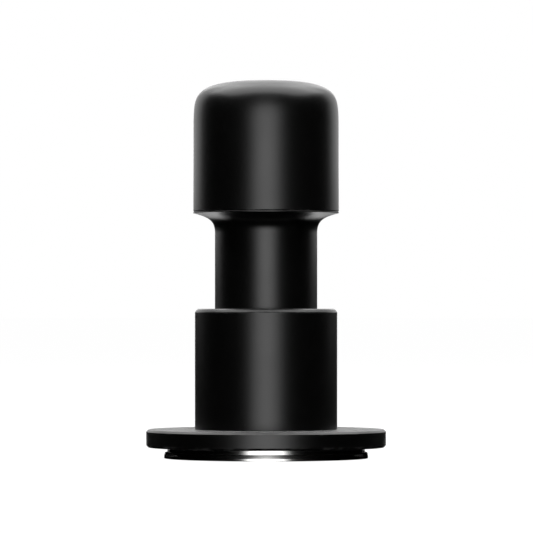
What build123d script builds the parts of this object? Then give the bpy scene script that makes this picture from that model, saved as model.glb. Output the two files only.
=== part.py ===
"""A spring-loaded impact tamper for a 58.5 mm espresso basket, one solid for each piece it comes apart into.

The frame is in millimetres with +Z up the tamper's axis. Its origin is the middle of the tamping
base's underside. The tamper stands at rest: base drawn up into the flange, neck fully out.
"""

import os
from math import cos, radians, sin

from build123d import *

os.makedirs("parts", exist_ok=True)

# --- Outer form
BASE_R = 29.25
BASE_WALL_R = 28.35
BASE_LAND_H = 0.72
BASE_LIP_H = 1.7
BASE_FOOT_EDGE = 0.1
BASE_LIP_TAPER = 0.18
BASE_TOP = 5.5
FLANGE_R = 34.45
FLANGE_BOTTOM = 3.1
FLANGE_TOP = 8.24
FLANGE_CHAMFER = 0.65
SLEEVE_R = 20.45
SLEEVE_TOP = 42.85
SLEEVE_BEVEL_R = 0.95
SLEEVE_BEVEL_H = 0.8
NECK_R = 14.7
FLARE_START = 64.48
FLARE_END = 70.22
FLARE_TIP = 70.31
FLARE_EDGE = 0.34
FLARE_LOW_PULL = 3.36
FLARE_HIGH_PULL = 1.24
FLARE_HIGH_PULL_R = 1.2
HEAD_R = 20.94
HEAD_SEAM = 70.75
SEAM_CHAMFER = 0.2
CAP_WAIST_R = 20.88
CROWN_START = 86.34
CROWN_H = 22.0
CROWN_TOP = CROWN_START + CROWN_H
CROWN_SIDE_POWER = 2.883
CROWN_TOP_POWER = 8.37
CROWN_STEPS = 14

# --- Fits
RUN = 0.05
PRESS_GAP = 0.02
WIPER_GAP = 0.03
END_GAP = 0.1
EDGE = 0.3
FINE_EDGE = 0.15

# --- Flange, stem guide and screws
POCKET_R = 29.4
POCKET_CEILING = 6.0
GUIDE_SEAT = 6.8
GUIDE_SEAT_R = 14.1
FLANGE_BORE_R = 13.0
GUIDE_FOOT_R = 14.0
GUIDE_R = 10.8
GUIDE_TOP = 21.0
GUIDE_BORE_R = 9.4
GUIDE_RIB_R = 8.3
GUIDE_RIB_TOP = 9.2
SCREW_COUNT = 4
SCREW_CIRCLE_R = 18.0
SCREW_FIRST_ANGLE = 45
SCREW_R = 1.45
SCREW_HEAD_R = 2.85
SCREW_HEAD_H = 1.4
SCREW_TIP = 14.0
SCREW_SOCKET_R = 1.15
SCREW_SOCKET_DEPTH = 1.0
TAPPED_DEPTH_TOP = 15.0

# --- Sleeve, with its gland and the rings in it
SLEEVE_BORE_R = 15.6
SLEEVE_FLOOR = 10.7
SLEEVE_FLOOR_HOLE_R = 10.85
GLAND_SEAT = 39.0
GLAND_SEAT_R = 17.0
GLAND_BORE_R = 14.85
GLAND_TOP = 42.6
WIPER_GROOVE_R = 15.8
WIPER_BOTTOM = 40.7
WIPER_TOP = 41.9
SPANNER_HOLE_R = 0.45
SPANNER_CIRCLE_R = 15.9
SPANNER_HOLE_DEPTH = 0.5
BUSH_BOTTOM = 35.3
BUMPER_R = 15.4
BUMPER_BORE_R = 12.5
BUMPER_TOP = 11.3

# --- Base, stem and return spring
HUB_R = 8.0
HUB_TOP = 8.8
SPIGOT_R = 5.0
SPIGOT_BOTTOM = 3.2
SPIGOT_END_GAP = 0.2
REST_RING_R = 25.0
REST_RING_BORE_R = 22.5
REST_GROOVE_BOTTOM = 4.6
REST_RING_TOP = 5.95
STEM_R = 6.0
STEM_TOP = 34.0
STEM_BORE_BOTTOM = 29.5
BUSH_WALL_R = 7.5
BUSH_FLANGE_R = 9.35
BUSH_TOP = 19.2
RETURN_WIRE_R = 0.6
RETURN_COIL_R = 8.35
RETURN_TURNS = 7

# --- Stem head and sear
SEAR_STROKE = 1.2
HEAD_BLOCK_R = 10.6
HEAD_BLOCK_BOTTOM = 31.5
HEAD_BLOCK_TOP = 39.0
SLOT_TOP = 37.0
SLOT_HALF_WIDTH = 6.0
SLOT_END = -10.0
SEAR_GAP = 0.05
SEAR_NOSE_R = 11.0
SEAR_BACK = -7.4
SEAR_HOLE_R = 3.3
SEAR_POCKET_R = 1.3
SEAR_POCKET_END = -4.6
SEAR_COIL_R = 0.9
SEAR_WIRE_R = 0.2
SEAR_TURNS = 6
PIN_HOLE_R = 3.5

# --- Neck tube
TUBE_BOTTOM = 31.5
TUBE_THREAD_R = 14.0
TUBE_THREAD_TOP = 35.0
TUBE_LOW_BORE_R = 12.3
TUBE_BORE_R = 11.1
TAPER_BOTTOM = 37.2
TAPER_TOP = 47.3
STOP_GROOVE_R = 12.0
STOP_GROOVE_BOTTOM = 54.35
STOP_GROOVE_TOP = 55.95
SPIGOT_WALL_R = 15.0
SPIGOT_TOP = 98.0
ORING_GROOVE_R = 13.9
ORING_GROOVE_BOTTOM = 71.0
ORING_GROOVE_TOP = 72.2
ORING_SECTION_R = 0.55
RETAINER_R = 15.5
RETAINER_GROOVE_R = 14.9
WEAR_RING_BOTTOM = 32.6
WEAR_RING_TOP = 33.9

# --- Hammer, main spring and adjuster
PIN_R = 3.0
NOSE_BOTTOM = 43.0
NOSE_R = 8.0
HAMMER_SHOULDER = 56.0
HAMMER_R = 11.02
HAMMER_TOP = 68.0
PILOT_R = 7.9
PILOT_H = 3.0
STOP_RING_BORE_R = 8.4
STOP_RING_R = 11.9
STOP_RING_GAP = 4.0
MAIN_WIRE_R = 0.9
MAIN_COIL_R = 9.1
MAIN_TURNS = 5
SEAT_BOTTOM = 88.0
SEAT_TOP = 89.6
ADJUSTER_R = 11.05
ADJUSTER_BOTTOM = 89.7
ADJUSTER_TOP = 95.0
ADJUSTER_SOCKET_ACROSS = 8.0
ADJUSTER_SOCKET_DEPTH = 4.0
CAP_BORE_R = 15.05
CAP_BORE_TOP = 98.4


def turn(*outline):
    """Turn a closed outline of (radius, height) corners about the tamper's axis."""
    with BuildSketch(Plane.XZ) as profile:
        with BuildLine():
            Polyline(*outline, close=True)
        make_face()
    revolve(profile.sketch, axis=Axis.Z)


def ring(bore_r, wall_r, bottom, top, edge=0):
    """Turn a plain ring, with both ends of its outer wall chamfered by edge."""
    turn((bore_r, bottom), (wall_r, bottom), (wall_r, top), (bore_r, top))
    if edge:
        ends = new_edges_at_radius(wall_r)
        chamfer(ends, edge)


def new_edges_at_radius(radius):
    """Find the circular edges of that radius in the part being built."""
    part = BuildPart._get_context().part
    return part.edges().filter_by(lambda e: e.geom_type == GeomType.CIRCLE and abs(e.radius - radius) < 0.001)


def coil(mean_r, wire_r, turns, start, height, direction=(0, 0, 1)):
    """Wind a spring's wire from start, over height along direction, about an axis through start."""
    with BuildLine() as path:
        Helix(pitch=height / turns, height=height, radius=mean_r, center=start, direction=direction)
    with BuildSketch(Plane(path.line @ 0, z_dir=path.line % 0)) as section:
        Circle(wire_r)
    sweep(section.sketch, path=path.line, is_frenet=True)


def crown_point(share):
    """Place a point on the palm cap's crown, from its waist at share 0 to its top at share 1."""
    angle = radians(90 * share)
    radius = CAP_WAIST_R * cos(angle) ** (2 / CROWN_SIDE_POWER)
    height = CROWN_START + CROWN_H * sin(angle) ** (2 / CROWN_TOP_POWER)
    return (max(radius, 0), height)


# ---------------------------------------------------------------- collar: what stands on the basket's rim
with BuildPart() as levelling_flange:
    turn(
        (POCKET_R, FLANGE_BOTTOM),
        (FLANGE_R - FLANGE_CHAMFER, FLANGE_BOTTOM),
        (FLANGE_R, FLANGE_BOTTOM + FLANGE_CHAMFER),
        (FLANGE_R, FLANGE_TOP - FLANGE_CHAMFER),
        (FLANGE_R - FLANGE_CHAMFER, FLANGE_TOP),
        (GUIDE_SEAT_R, FLANGE_TOP),
        (GUIDE_SEAT_R, GUIDE_SEAT),
        (FLANGE_BORE_R, GUIDE_SEAT),
        (FLANGE_BORE_R, POCKET_CEILING),
        (POCKET_R, POCKET_CEILING),
    )
    with Locations(Plane(origin=(0, 0, POCKET_CEILING), z_dir=(0, 0, -1))):
        with PolarLocations(SCREW_CIRCLE_R, SCREW_COUNT, start_angle=SCREW_FIRST_ANGLE):
            CounterSinkHole(SCREW_R + RUN, SCREW_HEAD_R + RUN, depth=FLANGE_TOP - POCKET_CEILING)
levelling_flange.part.label = "levelling_flange"
export_step(levelling_flange.part, "parts/levelling_flange.step")

with BuildPart() as sleeve:
    turn(
        (SLEEVE_FLOOR_HOLE_R, FLANGE_TOP),
        (SLEEVE_R, FLANGE_TOP),
        (SLEEVE_R, SLEEVE_TOP - SLEEVE_BEVEL_H),
        (SLEEVE_R - SLEEVE_BEVEL_R, SLEEVE_TOP),
        (GLAND_SEAT_R, SLEEVE_TOP),
        (GLAND_SEAT_R, GLAND_SEAT),
        (SLEEVE_BORE_R, GLAND_SEAT),
        (SLEEVE_BORE_R, SLEEVE_FLOOR),
        (SLEEVE_FLOOR_HOLE_R, SLEEVE_FLOOR),
    )
    with BuildSketch(Plane.XY.offset(FLANGE_TOP)):
        with PolarLocations(SCREW_CIRCLE_R, SCREW_COUNT, start_angle=SCREW_FIRST_ANGLE):
            Circle(SCREW_R + RUN)
    extrude(amount=TAPPED_DEPTH_TOP - FLANGE_TOP, mode=Mode.SUBTRACT)
sleeve.part.label = "sleeve"
export_step(sleeve.part, "parts/sleeve.step")

with BuildPart() as flange_screws:
    with Locations((0, 0, POCKET_CEILING)):
        with PolarLocations(SCREW_CIRCLE_R, SCREW_COUNT, start_angle=SCREW_FIRST_ANGLE):
            Cone(SCREW_HEAD_R, SCREW_R, SCREW_HEAD_H, align=(Align.CENTER, Align.CENTER, Align.MIN))
            Cylinder(SCREW_R, SCREW_TIP - POCKET_CEILING, align=(Align.CENTER, Align.CENTER, Align.MIN))
    with BuildSketch(Plane.XY.offset(POCKET_CEILING)):
        with PolarLocations(SCREW_CIRCLE_R, SCREW_COUNT, start_angle=SCREW_FIRST_ANGLE):
            RegularPolygon(SCREW_SOCKET_R, 6)
    extrude(amount=SCREW_SOCKET_DEPTH, mode=Mode.SUBTRACT)
flange_screws.part.label = "flange_screws"
export_step(flange_screws.part, "parts/flange_screws.step")

with BuildPart() as stem_guide:
    turn(
        (GUIDE_RIB_R, GUIDE_SEAT),
        (GUIDE_FOOT_R, GUIDE_SEAT),
        (GUIDE_FOOT_R, FLANGE_TOP),
        (GUIDE_R, FLANGE_TOP),
        (GUIDE_R, GUIDE_TOP - EDGE),
        (GUIDE_R - EDGE, GUIDE_TOP),
        (GUIDE_BORE_R, GUIDE_TOP),
        (GUIDE_BORE_R, GUIDE_RIB_TOP),
        (GUIDE_RIB_R, GUIDE_RIB_TOP),
    )
stem_guide.part.label = "stem_guide"
export_step(stem_guide.part, "parts/stem_guide.step")

with BuildPart() as stem_bush:
    turn(
        (STEM_R + RUN, GUIDE_RIB_TOP),
        (BUSH_FLANGE_R, GUIDE_RIB_TOP),
        (BUSH_FLANGE_R, SLEEVE_FLOOR),
        (BUSH_WALL_R, SLEEVE_FLOOR),
        (BUSH_WALL_R, BUSH_TOP - EDGE),
        (BUSH_WALL_R - EDGE, BUSH_TOP),
        (STEM_R + RUN, BUSH_TOP),
    )
stem_bush.part.label = "stem_bush"
export_step(stem_bush.part, "parts/stem_bush.step")

with BuildPart() as return_spring:
    coil(
        RETURN_COIL_R,
        RETURN_WIRE_R,
        RETURN_TURNS,
        start=(0, 0, SLEEVE_FLOOR + RETURN_WIRE_R),
        height=HEAD_BLOCK_BOTTOM - SLEEVE_FLOOR - 2 * RETURN_WIRE_R - RUN,
    )
return_spring.part.label = "return_spring"
export_step(return_spring.part, "parts/return_spring.step")

with BuildPart() as end_bumper:
    ring(BUMPER_BORE_R, BUMPER_R, SLEEVE_FLOOR, BUMPER_TOP, FINE_EDGE)
end_bumper.part.label = "end_bumper"
export_step(end_bumper.part, "parts/end_bumper.step")

with BuildPart() as neck_bush:
    ring(NECK_R + RUN, SLEEVE_BORE_R - PRESS_GAP, BUSH_BOTTOM, GLAND_SEAT - END_GAP)
neck_bush.part.label = "neck_bush"
export_step(neck_bush.part, "parts/neck_bush.step")

with BuildPart() as gland_ring:
    turn(
        (GLAND_BORE_R, GLAND_SEAT),
        (GLAND_SEAT_R - RUN, GLAND_SEAT),
        (GLAND_SEAT_R - RUN, GLAND_TOP - FINE_EDGE),
        (GLAND_SEAT_R - RUN - FINE_EDGE, GLAND_TOP),
        (GLAND_BORE_R + FINE_EDGE, GLAND_TOP),
        (GLAND_BORE_R, GLAND_TOP - FINE_EDGE),
        (GLAND_BORE_R, WIPER_TOP),
        (WIPER_GROOVE_R, WIPER_TOP),
        (WIPER_GROOVE_R, WIPER_BOTTOM),
        (GLAND_BORE_R, WIPER_BOTTOM),
    )
    with BuildSketch(Plane.XY.offset(GLAND_TOP)):
        with PolarLocations(SPANNER_CIRCLE_R, 2):
            Circle(SPANNER_HOLE_R)
    extrude(amount=-SPANNER_HOLE_DEPTH, mode=Mode.SUBTRACT)
gland_ring.part.label = "gland_ring"
export_step(gland_ring.part, "parts/gland_ring.step")

with BuildPart() as wiper_ring:
    ring(NECK_R + WIPER_GAP, WIPER_GROOVE_R - RUN, WIPER_BOTTOM + RUN, WIPER_TOP - RUN)
wiper_ring.part.label = "wiper_ring"
export_step(wiper_ring.part, "parts/wiper_ring.step")

# ---------------------------------------------------------------- plunger: what presses the coffee
with BuildPart() as tamping_base:
    turn(
        (0, 0),
        (BASE_R - BASE_FOOT_EDGE, 0),
        (BASE_R, BASE_FOOT_EDGE),
        (BASE_R, BASE_LAND_H),
        (BASE_R - BASE_LIP_TAPER, BASE_LIP_H - BASE_FOOT_EDGE),
        (BASE_R - BASE_LIP_TAPER - BASE_FOOT_EDGE, BASE_LIP_H),
        (BASE_WALL_R, BASE_LIP_H),
        (BASE_WALL_R, BASE_TOP - FINE_EDGE),
        (BASE_WALL_R - FINE_EDGE, BASE_TOP),
        (REST_RING_R + RUN, BASE_TOP),
        (REST_RING_R + RUN, REST_GROOVE_BOTTOM),
        (REST_RING_BORE_R - RUN, REST_GROOVE_BOTTOM),
        (REST_RING_BORE_R - RUN, BASE_TOP),
        (HUB_R, BASE_TOP),
        (HUB_R, HUB_TOP - FINE_EDGE),
        (HUB_R - FINE_EDGE, HUB_TOP),
        (SPIGOT_R + RUN, HUB_TOP),
        (SPIGOT_R + RUN, SPIGOT_BOTTOM - SPIGOT_END_GAP),
        (0, SPIGOT_BOTTOM - SPIGOT_END_GAP),
    )
tamping_base.part.label = "tamping_base"
export_step(tamping_base.part, "parts/tamping_base.step")

with BuildPart() as rest_ring:
    ring(REST_RING_BORE_R, REST_RING_R, REST_GROOVE_BOTTOM, REST_RING_TOP, FINE_EDGE)
rest_ring.part.label = "rest_ring"
export_step(rest_ring.part, "parts/rest_ring.step")

with BuildPart() as stem:
    turn(
        (0, SPIGOT_BOTTOM),
        (SPIGOT_R - EDGE, SPIGOT_BOTTOM),
        (SPIGOT_R, SPIGOT_BOTTOM + EDGE),
        (SPIGOT_R, HUB_TOP),
        (STEM_R, HUB_TOP),
        (STEM_R, STEM_TOP),
        (PIN_HOLE_R, STEM_TOP),
        (PIN_HOLE_R, STEM_BORE_BOTTOM),
        (0, STEM_BORE_BOTTOM),
    )
stem.part.label = "stem"
export_step(stem.part, "parts/stem.step")

with BuildPart() as stem_head:
    turn(
        (STEM_R + RUN, HEAD_BLOCK_BOTTOM),
        (HEAD_BLOCK_R - EDGE, HEAD_BLOCK_BOTTOM),
        (HEAD_BLOCK_R, HEAD_BLOCK_BOTTOM + EDGE),
        (HEAD_BLOCK_R, HEAD_BLOCK_TOP - EDGE),
        (HEAD_BLOCK_R - EDGE, HEAD_BLOCK_TOP),
        (PIN_HOLE_R, HEAD_BLOCK_TOP),
        (PIN_HOLE_R, STEM_TOP),
        (STEM_R + RUN, STEM_TOP),
    )
    with BuildSketch(Plane.XY.offset(STEM_TOP)):
        with Locations((SLOT_END, 0)):
            Rectangle(2 * HEAD_BLOCK_R, 2 * SLOT_HALF_WIDTH, align=(Align.MIN, Align.CENTER))
    extrude(amount=SLOT_TOP - STEM_TOP, mode=Mode.SUBTRACT)
stem_head.part.label = "stem_head"
export_step(stem_head.part, "parts/stem_head.step")

SEAR_MIDDLE = (STEM_TOP + SLOT_TOP) / 2

with BuildPart() as sear_spring:
    coil(
        SEAR_COIL_R,
        SEAR_WIRE_R,
        SEAR_TURNS,
        start=(SLOT_END + SEAR_WIRE_R, 0, SEAR_MIDDLE),
        height=SEAR_POCKET_END - SLOT_END - 2 * SEAR_WIRE_R,
        direction=(1, 0, 0),
    )
sear_spring.part.label = "sear_spring"
export_step(sear_spring.part, "parts/sear_spring.step")

# ---------------------------------------------------------------- sear: the plate that lets the hammer's pin drop
with BuildPart() as sear_plate:
    with BuildSketch(Plane.XY.offset(STEM_TOP + SEAR_GAP)):
        with Locations((SEAR_STROKE, 0)):
            Circle(SEAR_NOSE_R)
        with Locations((SEAR_BACK, 0)):
            Rectangle(
                2 * HEAD_BLOCK_R,
                2 * (SLOT_HALF_WIDTH - SEAR_GAP),
                align=(Align.MIN, Align.CENTER),
                mode=Mode.INTERSECT,
            )
        with Locations((SEAR_STROKE, 0)):
            Circle(SEAR_HOLE_R, mode=Mode.SUBTRACT)
    extrude(amount=SLOT_TOP - STEM_TOP - 2 * SEAR_GAP)
    with BuildSketch(Plane(origin=(SEAR_BACK, 0, SEAR_MIDDLE), z_dir=(1, 0, 0))):
        Circle(SEAR_POCKET_R)
    extrude(amount=SEAR_POCKET_END - SEAR_BACK, mode=Mode.SUBTRACT)
sear_plate.part.label = "sear_plate"
export_step(sear_plate.part, "parts/sear_plate.step")

# ---------------------------------------------------------------- carriage: the ring the neck slides and turns on
with BuildPart() as neck_wear_ring:
    ring(RETAINER_GROOVE_R + RUN, SLEEVE_BORE_R - RUN, WEAR_RING_BOTTOM, WEAR_RING_TOP)
neck_wear_ring.part.label = "neck_wear_ring"
export_step(neck_wear_ring.part, "parts/neck_wear_ring.step")

# ---------------------------------------------------------------- handle: what the palm holds
with BuildPart() as neck_tube:
    with BuildSketch(Plane.XZ):
        with BuildLine():
            Polyline(
                (TUBE_LOW_BORE_R, TUBE_BOTTOM),
                (TUBE_THREAD_R - EDGE, TUBE_BOTTOM),
                (TUBE_THREAD_R, TUBE_BOTTOM + EDGE),
                (TUBE_THREAD_R, TUBE_THREAD_TOP),
                (NECK_R, TUBE_THREAD_TOP),
                (NECK_R, FLARE_START),
            )
            Bezier(
                (NECK_R, FLARE_START),
                (NECK_R, FLARE_START + FLARE_LOW_PULL),
                (NECK_R + FLARE_HIGH_PULL_R, FLARE_END - FLARE_HIGH_PULL),
                (HEAD_R - FLARE_EDGE, FLARE_END),
            )
            Polyline(
                (HEAD_R - FLARE_EDGE, FLARE_END),
                (HEAD_R, FLARE_TIP),
                (HEAD_R, HEAD_SEAM - SEAM_CHAMFER),
                (HEAD_R - SEAM_CHAMFER, HEAD_SEAM),
                (SPIGOT_WALL_R, HEAD_SEAM),
                (SPIGOT_WALL_R, ORING_GROOVE_BOTTOM),
                (ORING_GROOVE_R, ORING_GROOVE_BOTTOM),
                (ORING_GROOVE_R, ORING_GROOVE_TOP),
                (SPIGOT_WALL_R, ORING_GROOVE_TOP),
                (SPIGOT_WALL_R, SPIGOT_TOP - EDGE),
                (SPIGOT_WALL_R - EDGE, SPIGOT_TOP),
                (TUBE_BORE_R, SPIGOT_TOP),
                (TUBE_BORE_R, STOP_GROOVE_TOP),
                (STOP_GROOVE_R, STOP_GROOVE_TOP),
                (STOP_GROOVE_R, STOP_GROOVE_BOTTOM),
                (TUBE_BORE_R, STOP_GROOVE_BOTTOM),
                (TUBE_BORE_R, TAPER_TOP),
                (TUBE_LOW_BORE_R, TAPER_BOTTOM),
                (TUBE_LOW_BORE_R, TUBE_BOTTOM),
            )
        make_face()
    revolve(axis=Axis.Z)
neck_tube.part.label = "neck_tube"
export_step(neck_tube.part, "parts/neck_tube.step")

with BuildPart() as neck_retainer:
    turn(
        (TUBE_THREAD_R + RUN, TUBE_BOTTOM),
        (RETAINER_R - EDGE, TUBE_BOTTOM),
        (RETAINER_R, TUBE_BOTTOM + EDGE),
        (RETAINER_R, WEAR_RING_BOTTOM - RUN),
        (RETAINER_GROOVE_R, WEAR_RING_BOTTOM - RUN),
        (RETAINER_GROOVE_R, WEAR_RING_TOP + RUN),
        (RETAINER_R, WEAR_RING_TOP + RUN),
        (RETAINER_R, TUBE_THREAD_TOP),
        (TUBE_THREAD_R + RUN, TUBE_THREAD_TOP),
    )
neck_retainer.part.label = "neck_retainer"
export_step(neck_retainer.part, "parts/neck_retainer.step")

with BuildPart() as palm_cap:
    with BuildSketch(Plane.XZ):
        with BuildLine():
            Polyline(
                (0, CAP_BORE_TOP),
                (CAP_BORE_R, CAP_BORE_TOP),
                (CAP_BORE_R, HEAD_SEAM),
                (HEAD_R - SEAM_CHAMFER, HEAD_SEAM),
                (HEAD_R, HEAD_SEAM + SEAM_CHAMFER),
                (CAP_WAIST_R, CROWN_START),
            )
            Spline(
                *[crown_point(step / CROWN_STEPS) for step in range(CROWN_STEPS + 1)],
                tangents=((0, 1), (-1, 0)),
            )
            Line((0, CROWN_TOP), (0, CAP_BORE_TOP))
        make_face()
    revolve(axis=Axis.Z)
palm_cap.part.label = "palm_cap"
export_step(palm_cap.part, "parts/palm_cap.step")

with BuildPart() as cap_oring:
    with Locations((0, 0, (ORING_GROOVE_BOTTOM + ORING_GROOVE_TOP) / 2)):
        Torus(ORING_GROOVE_R + ORING_SECTION_R, ORING_SECTION_R)
cap_oring.part.label = "cap_oring"
export_step(cap_oring.part, "parts/cap_oring.step")

with BuildPart() as hammer_stop_ring:
    ring(STOP_RING_BORE_R, STOP_RING_R, STOP_GROOVE_BOTTOM + RUN, STOP_GROOVE_TOP - RUN)
    with BuildSketch(Plane.XY.offset(STOP_GROOVE_BOTTOM)):
        Rectangle(2 * STOP_RING_R, STOP_RING_GAP, align=(Align.MIN, Align.CENTER))
    extrude(amount=STOP_GROOVE_TOP - STOP_GROOVE_BOTTOM, mode=Mode.SUBTRACT)
hammer_stop_ring.part.label = "hammer_stop_ring"
export_step(hammer_stop_ring.part, "parts/hammer_stop_ring.step")

# ---------------------------------------------------------------- hammer: the weight the sear lets go
with BuildPart() as hammer:
    turn(
        (0, SLOT_TOP),
        (PIN_R - EDGE, SLOT_TOP),
        (PIN_R, SLOT_TOP + EDGE),
        (PIN_R, NOSE_BOTTOM),
        (NOSE_R - EDGE, NOSE_BOTTOM),
        (NOSE_R, NOSE_BOTTOM + EDGE),
        (NOSE_R, HAMMER_SHOULDER),
        (HAMMER_R, HAMMER_SHOULDER),
        (HAMMER_R, HAMMER_TOP - EDGE),
        (HAMMER_R - EDGE, HAMMER_TOP),
        (PILOT_R, HAMMER_TOP),
        (PILOT_R, HAMMER_TOP + PILOT_H - EDGE),
        (PILOT_R - EDGE, HAMMER_TOP + PILOT_H),
        (0, HAMMER_TOP + PILOT_H),
    )
hammer.part.label = "hammer"
export_step(hammer.part, "parts/hammer.step")

# ---------------------------------------------------------------- seat: the spring's upper end
with BuildPart() as spring_seat:
    turn(
        (0, SEAT_BOTTOM - PILOT_H),
        (PILOT_R - EDGE, SEAT_BOTTOM - PILOT_H),
        (PILOT_R, SEAT_BOTTOM - PILOT_H + EDGE),
        (PILOT_R, SEAT_BOTTOM),
        (HAMMER_R, SEAT_BOTTOM),
        (HAMMER_R, SEAT_TOP),
        (0, SEAT_TOP),
    )
spring_seat.part.label = "spring_seat"
export_step(spring_seat.part, "parts/spring_seat.step")

with BuildPart() as main_spring:
    coil(
        MAIN_COIL_R,
        MAIN_WIRE_R,
        MAIN_TURNS,
        start=(0, 0, HAMMER_TOP + MAIN_WIRE_R + RUN),
        height=SEAT_BOTTOM - HAMMER_TOP - 2 * MAIN_WIRE_R - 2 * RUN,
    )
main_spring.part.label = "main_spring"
export_step(main_spring.part, "parts/main_spring.step")

# ---------------------------------------------------------------- adjuster: the screw that sets the strike
with BuildPart() as force_adjuster:
    turn((0, ADJUSTER_BOTTOM), (ADJUSTER_R, ADJUSTER_BOTTOM), (ADJUSTER_R, ADJUSTER_TOP), (0, ADJUSTER_TOP))
    chamfer(new_edges_at_radius(ADJUSTER_R), EDGE)
    with BuildSketch(Plane.XY.offset(ADJUSTER_TOP)):
        RegularPolygon(ADJUSTER_SOCKET_ACROSS / 2, 6, major_radius=False)
    extrude(amount=-ADJUSTER_SOCKET_DEPTH, mode=Mode.SUBTRACT)
force_adjuster.part.label = "force_adjuster"
export_step(force_adjuster.part, "parts/force_adjuster.step")
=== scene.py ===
"""The espresso tamper's visual model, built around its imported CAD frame, with its studio.

Most pieces of the tamper are turned on a lathe, so most meshes here are outlines carried round the
axis: a point of the outline at radius r and height z becomes (r cos a, r sin a, z) for every angle a.
Springs are a round wire carried along a coil. Outlines and springs are written in millimetres. Their
meshes, the lights and the camera are in metres, in the frame of the CAD model.
"""

import logging
import math
from dataclasses import dataclass, field
from enum import Enum
from typing import Callable, Optional, Union

import bpy
import numpy as np
from bpy.types import Material, Node, NodeOutputs, NodeSocket, NodeTree, Object
from mathutils import Euler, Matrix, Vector


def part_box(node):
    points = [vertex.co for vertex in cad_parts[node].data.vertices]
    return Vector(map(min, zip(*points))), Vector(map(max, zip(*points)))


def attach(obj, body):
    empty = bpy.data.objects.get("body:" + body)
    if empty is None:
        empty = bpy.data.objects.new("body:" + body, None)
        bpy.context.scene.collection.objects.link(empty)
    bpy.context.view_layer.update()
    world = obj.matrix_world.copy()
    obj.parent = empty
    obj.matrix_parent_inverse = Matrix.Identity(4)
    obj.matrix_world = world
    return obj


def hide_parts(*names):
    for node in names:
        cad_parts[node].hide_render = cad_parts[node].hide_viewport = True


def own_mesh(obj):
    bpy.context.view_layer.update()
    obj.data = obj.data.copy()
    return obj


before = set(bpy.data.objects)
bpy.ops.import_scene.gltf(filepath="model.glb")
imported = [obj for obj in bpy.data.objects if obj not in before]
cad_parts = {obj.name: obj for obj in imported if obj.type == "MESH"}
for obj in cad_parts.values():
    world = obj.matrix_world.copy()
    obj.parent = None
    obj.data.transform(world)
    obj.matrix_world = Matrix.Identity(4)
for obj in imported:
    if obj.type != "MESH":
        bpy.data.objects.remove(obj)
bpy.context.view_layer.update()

LOG = logging.getLogger("tamper")
MM = 0.001
TURN = 2 * math.pi
TINY = 1e-9
ORIGIN = (0.0, 0.0, 0.0)
UP = (0.0, 0.0, 1.0)

# Corner radii in millimetres. A corner that names none has EDGE_BREAK.
EDGE_BREAK = 0.04
CRISP = 0.1
TIP = 0.12
EASED = 0.15
SOFT = 0.2
ROUND = 0.3


# ---- named options
class Body(Enum):
    """The rigid bodies that new pieces ride on."""

    PLUNGER = "plunger"
    COLLAR = "collar"
    CARRIAGE = "carriage"
    HANDLE = "handle"
    HAMMER = "hammer"
    SEAT = "seat"


class Slot(Enum):
    """The record's material slots, each with its finish."""

    ANODISED = "anodised"
    BARE_ALUMINIUM = "bare_aluminium"
    POLISHED_STEEL = "polished_steel"
    GROUND_STEEL = "ground_steel"
    HARDENED_STEEL = "hardened_steel"
    SPRING_STEEL = "spring_steel"
    BRONZE = "bronze"
    RUBBER = "rubber"
    POLYMER = "polymer"


# ---- turned outlines
@dataclass(frozen=True)
class Outline:
    """The half section of a turned piece: points, the outline's direction at each, and its wear.

    Attributes:
        points: Rows of radius and height, counterclockwise round the metal.
        heading: The outline's direction at each point, as an angle from the radius axis.
        edge: 1 on a rounded corner and 0 on a plain stretch, for wear to follow.
        closed: False where the outline starts and ends on the axis.
    """

    points: np.ndarray
    heading: np.ndarray
    edge: np.ndarray
    closed: bool


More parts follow.
